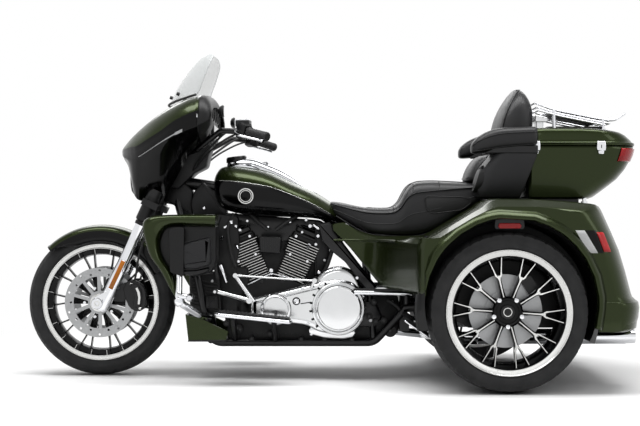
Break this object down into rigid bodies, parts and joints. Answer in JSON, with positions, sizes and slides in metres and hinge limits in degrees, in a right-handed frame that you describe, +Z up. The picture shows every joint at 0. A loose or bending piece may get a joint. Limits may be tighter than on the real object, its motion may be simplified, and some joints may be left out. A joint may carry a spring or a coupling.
{
  "type": "motor tricycle",
  "caption": "Touring motor tricycle: a fork-mounted fairing, V engine, stepped seat with backrest, and a wide luggage body over two rear wheels, with a racked case.",
  "frame": {"origin": "on the ground under the middle of the box round the whole machine", "axes": "+X forward along travel, +Y to the rider's left, +Z up"},
  "size_m": [2.612, 1.386, 1.406],
  "materials": {
    "green_paint": "gloss",
    "black_paint": "gloss",
    "engine_black": "satin",
    "rim_black": "gloss",
    "chrome": "polished",
    "polished_alloy": "polished",
    "steel": "satin",
    "vinyl": "satin",
    "rubber": "matte",
    "tyre": "matte",
    "black_plastic": "matte",
    "red_lens": "gloss",
    "amber_lens": "gloss",
    "clear_lens": "gloss",
    "clear_screen": "gloss"
  },
  "bodies": {
    "chassis": {"frame": "black_paint", "crankcase": "engine_black", "cylinders": "engine_black", "rocker_boxes": "chrome", "primary_cover": "chrome", "cam_cover": "chrome", "air_cleaner": "chrome", "exhaust_pipes": "chrome", "silencers": "chrome", "fuel_tank": "green_paint", "tank_console": "chrome", "seat": "vinyl", "side_panels": "green_paint", "rear_arches": "green_paint", "arch_lips": "black_paint", "trunk": "green_paint", "lower_fairings": "green_paint", "guard_tubes": "chrome", "chin_panel": "green_paint", "oil_cooler": "engine_black", "footboards": "rubber", "foot_levers": "chrome", "rear_axle": "black_paint", "dampers": "black_paint", "backrest": "vinyl", "arm_shelf": "black_plastic", "case_base": "green_paint", "speaker_pods": "green_paint", "rear_lamps": "red_lens"},
    "steering": {"fork_legs": "polished_alloy", "fork_clamps": "black_paint", "front_axle": "steel", "front_calipers": "black_paint", "front_fender": "green_paint", "fork_markers": "amber_lens", "fairing_shell": "green_paint", "fairing_panel": "black_plastic", "headlamp": "clear_lens", "windscreen": "clear_screen", "handlebar": "chrome", "hand_controls": "rubber", "mirrors": "black_plastic"},
    "front_wheel": {"front_tyre": "tyre", "front_rim": "rim_black", "front_discs": "steel"},
    "rear_wheel_left": {"rear_tyre_left": "tyre", "rear_rim_left": "rim_black", "rear_disc_left": "steel"},
    "rear_wheel_right": {"rear_tyre_right": "tyre", "rear_rim_right": "rim_black", "rear_disc_right": "steel"},
    "lid": {"case_lid": "green_paint", "luggage_rack": "chrome"},
    "door": {"trunk_door": "green_paint", "plate_holder": "black_plastic"}
  },
  "joints": [
    {"name": "steer", "type": "hinge", "parent": "chassis", "child": "steering", "pos_m": [0.937, 0, 0.318], "axis": [-0.4226, 0, 0.9063], "range_deg": [-32, 32]},
    {"name": "front_spin", "type": "hinge", "parent": "steering", "child": "front_wheel", "pos_m": [0.988, 0, 0.318], "axis": [0, 1, 0], "continuous": true},
    {"name": "rear_left_spin", "type": "hinge", "parent": "chassis", "child": "rear_wheel_left", "pos_m": [-0.693, 0.572, 0.316], "axis": [0, 1, 0], "continuous": true},
    {"name": "rear_right_spin", "type": "hinge", "parent": "chassis", "child": "rear_wheel_right", "pos_m": [-0.693, -0.572, 0.316], "axis": [0, 1, 0], "continuous": true},
    {"name": "lid_hinge", "type": "hinge", "parent": "chassis", "child": "lid", "pos_m": [-1.08, -0.29, 0.989], "axis": [1, 0, 0], "range_deg": [0, 80]},
    {"name": "door_hinge", "type": "hinge", "parent": "chassis", "child": "door", "pos_m": [-1.207, 0, 0.385], "axis": [0, -1, 0], "range_deg": [0, 80]}
  ]
}
